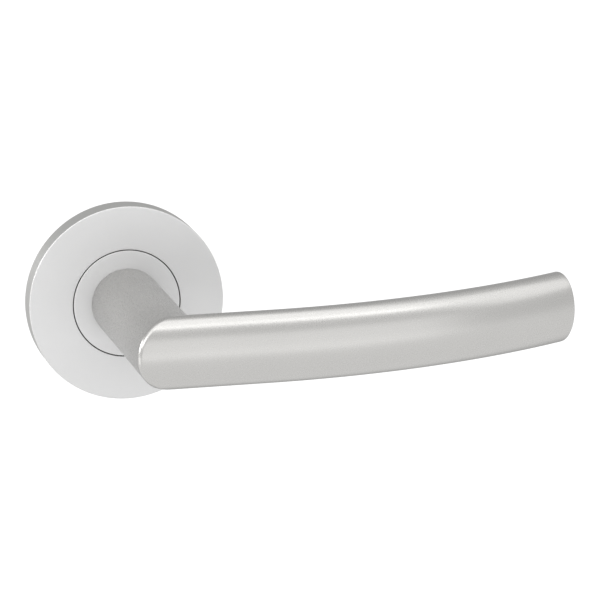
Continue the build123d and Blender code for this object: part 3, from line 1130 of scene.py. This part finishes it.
edge_of = {
    "neck_insert": 0.15,
    "spring_driver": 0.15,
    "thrust_washer": 0.08,
    "disc_spring": 0.06,
    "retaining_circlip": 0.1,
    "grub_screw": 0.08,
    "mounting_plate": 0.12,
    "spring_housing": 0.12,
    "bearing_bush": 0.08,
    "screw_posts": 0.15,
    "plate_rivets": 0.08,
}
for node, edge_mm in edge_of.items():
    eased = with_broken_edges("eased_" + node, node, edge_mm)
    print(eased.name, len(eased.data.polygons))

# %% [markdown]
# ## Floor
# The handle is shown alone, as in a shop's catalogue, above a white floor that is so far below it
# that no shadow shows. The metal doesn't mirror the floor, which would hide the room under it.

# %% Floor
bpy.ops.mesh.primitive_plane_add(size=12, location=(0, 0, -0.5))
floor = bpy.context.object
floor.name = "floor"
floor_look = {"Roughness": 0.9, "Base Color": linear("f8f8f8")}
floor_paint, tree, shader, place = start_finish("floor_paint", floor_look)
floor.data.materials.append(floor_paint)
floor.visible_glossy = False
print("floor:", floor.dimensions.x, "m square, at z =", floor.location.z, "m")

# %% [markdown]
# ## Surroundings
# Satin metal has almost no colour of its own: what it shows is the room. The room here is a tent
# of white cloth, brightest below. Behind the handle the cloth is grey, except far to the left.
# Near its outline a round piece mirrors what is behind it, so the grey cloth draws the darker
# edges of the neck and the grip.

# %% White and grey cloth
tent_strength = 1.16
surroundings = bpy.data.worlds.new("white_surroundings")
surroundings.use_nodes = True
tree = surroundings.node_tree
direction = add_node(tree, "ShaderNodeTexCoord").outputs["Generated"]
towards = add_node(tree, "ShaderNodeSeparateXYZ", inputs={"Vector": direction})
below = add_node(
    tree,
    "ShaderNodeMapRange",
    inputs={"Value": towards.outputs["Z"], "From Min": 0.0, "From Max": -0.2},
)
behind = add_node(
    tree,
    "ShaderNodeMapRange",
    inputs={"Value": towards.outputs["Y"], "From Min": 0.25, "From Max": 0.7},
)
right_and_up = add_node(
    tree,
    "ShaderNodeMath",
    {"operation": "MULTIPLY_ADD"},
    {0: towards.outputs["X"], 1: 2.0, 2: towards.outputs["Z"]},
)
not_far_left = add_node(
    tree,
    "ShaderNodeMapRange",
    inputs={"Value": right_and_up.outputs["Value"], "From Min": -1.35, "From Max": -0.95},
)
grey_part = add_node(
    tree,
    "ShaderNodeMath",
    {"operation": "MULTIPLY"},
    {0: behind.outputs["Result"], 1: not_far_left.outputs["Result"]},
)
tent = add_node(
    tree,
    "ShaderNodeMix",
    {"data_type": "RGBA"},
    {FACTOR: below.outputs["Result"], COLOUR_A: linear("e2e2e2"), COLOUR_B: linear("ffffff")},
)
room = add_node(
    tree,
    "ShaderNodeMix",
    {"data_type": "RGBA"},
    {
        FACTOR: grey_part.outputs["Value"],
        COLOUR_A: tent.outputs[COLOUR_OUT],
        COLOUR_B: linear("b4b4b4"),
    },
)
cloth = tree.nodes["Background"]
tree.links.new(room.outputs[COLOUR_OUT], cloth.inputs["Color"])
cloth.inputs["Strength"].default_value = tent_strength
bpy.context.scene.world = surroundings
bpy.context.scene.view_settings.view_transform = "Standard"
print("surroundings:", surroundings.name, "with a strength of", tent_strength)

# %% [markdown]
# ## Soft lights
# The lights are flat panels round the handle, each a bright rectangle for the metal to mirror.
# The three overhead draw the long highlight near the top of the grip, with a sharper line at its
# front edge. The dark band under it is the gap above the low front panel, which lights the flat
# of the grip and the face of the rose. The left and right panels light the bend at the mitre and
# the end of the grip, the one at the back left draws the faint streak along the neck, and the low
# left one the bright line on the mitre. A panel's brightness is how bright it looks from the
# handle, with the tent at about 1, and its power in watts follows from that and its area.
#
# Light linking says which objects a light falls on. The panels light everything but the floor,
# because they stand near it and would leave bright patches.

# %% Light panels
middle_of_handle = Vector((30, -30, 0)) * MM
all_but_floor = bpy.data.collections.new("all_but_floor")
all_but_floor.objects.link(floor)
all_but_floor.collection_objects[0].light_linking.link_state = "EXCLUDE"


def light_panel(name, azimuth_deg, elevation_deg, distance, width, height, brightness):
    """A soft panel that faces the handle. Azimuth 0 is in front, 90 is beyond the grip's end."""
    azimuth, elevation = math.radians(azimuth_deg), math.radians(elevation_deg)
    level = math.cos(elevation)
    outwards = Vector((math.sin(azimuth) * level, -math.cos(azimuth) * level, math.sin(elevation)))
    panel = bpy.data.lights.new(name, "AREA")
    panel.shape = "RECTANGLE"
    panel.size, panel.size_y = width, height
    panel.energy = brightness * math.pi * width * height
    holder = bpy.data.objects.new(name, panel)
    holder.location = middle_of_handle + distance * outwards
    holder.rotation_euler = (-outwards).to_track_quat("-Z", "Y").to_euler()
    holder.visible_camera = False
    holder.light_linking.receiver_collection = all_but_floor
    bpy.context.scene.collection.objects.link(holder)
    print(f"{name}: {panel.energy:.2f} W")
    return holder


light_panel("overhead_panel", 0, 80, 1.1, 1.4, 0.6, 1.0)
light_panel("overhead_front_strip", 8, 60, 1.1, 1.4, 0.2, 1.65)
light_panel("overhead_back_strip", 180, 80, 1.1, 0.9, 0.25, 0.8)
light_panel("front_panel", 12, 5, 1.3, 1.9, 1.0, 0.52)
light_panel("left_panel", -62, 40, 1.2, 0.6, 0.6, 2.8)
light_panel("right_panel", 80, 40, 1.2, 0.8, 0.7, 0.75)
light_panel("back_left_panel", -114, 16, 1.2, 0.8, 0.4, 5.2)
light_panel("low_left_panel", -76, -14, 1.0, 0.5, 0.35, 1.5)

# %% [markdown]
# The floor has a light of its own, a very wide and soft sun straight above it. It lights nothing
# but the floor, and a sun is equally strong everywhere, so the floor is evenly white.

# %% Floor light
floor_only = bpy.data.collections.new("floor_only")
floor_only.objects.link(floor)
floor_sun = bpy.data.lights.new("floor_sun", "SUN")
floor_sun.energy = 1.3
floor_sun.angle = math.radians(120)
floor_light = bpy.data.objects.new("floor_light", floor_sun)
floor_light.light_linking.receiver_collection = floor_only
bpy.context.scene.collection.objects.link(floor_light)
print("light on the floor alone:", floor_sun.energy, "W per square metre")

# %% [markdown]
# ## Camera
# A long lens from about a metre away keeps the rose almost round. The camera stands a little to
# the left of the handle and above it, so the mitre, the neck and the top of the rose's rim show.

# %% Camera
camera_lens = bpy.data.cameras.new("camera")
camera_lens.lens = 241.4
camera_lens.sensor_width = 36
camera = bpy.data.objects.new("camera", camera_lens)
camera.location = Vector((-206.76, -1013.96, 253.75)) * MM
yaw, pitch, roll = 0.2471, 0.2414, 0.0016
camera.rotation_euler = (math.pi / 2 - pitch, roll, -yaw)
bpy.context.scene.collection.objects.link(camera)
bpy.context.scene.camera = camera
camera_lens.clip_end = 100
print("camera to handle:", round((camera.location - middle_of_handle).length, 2), "m")
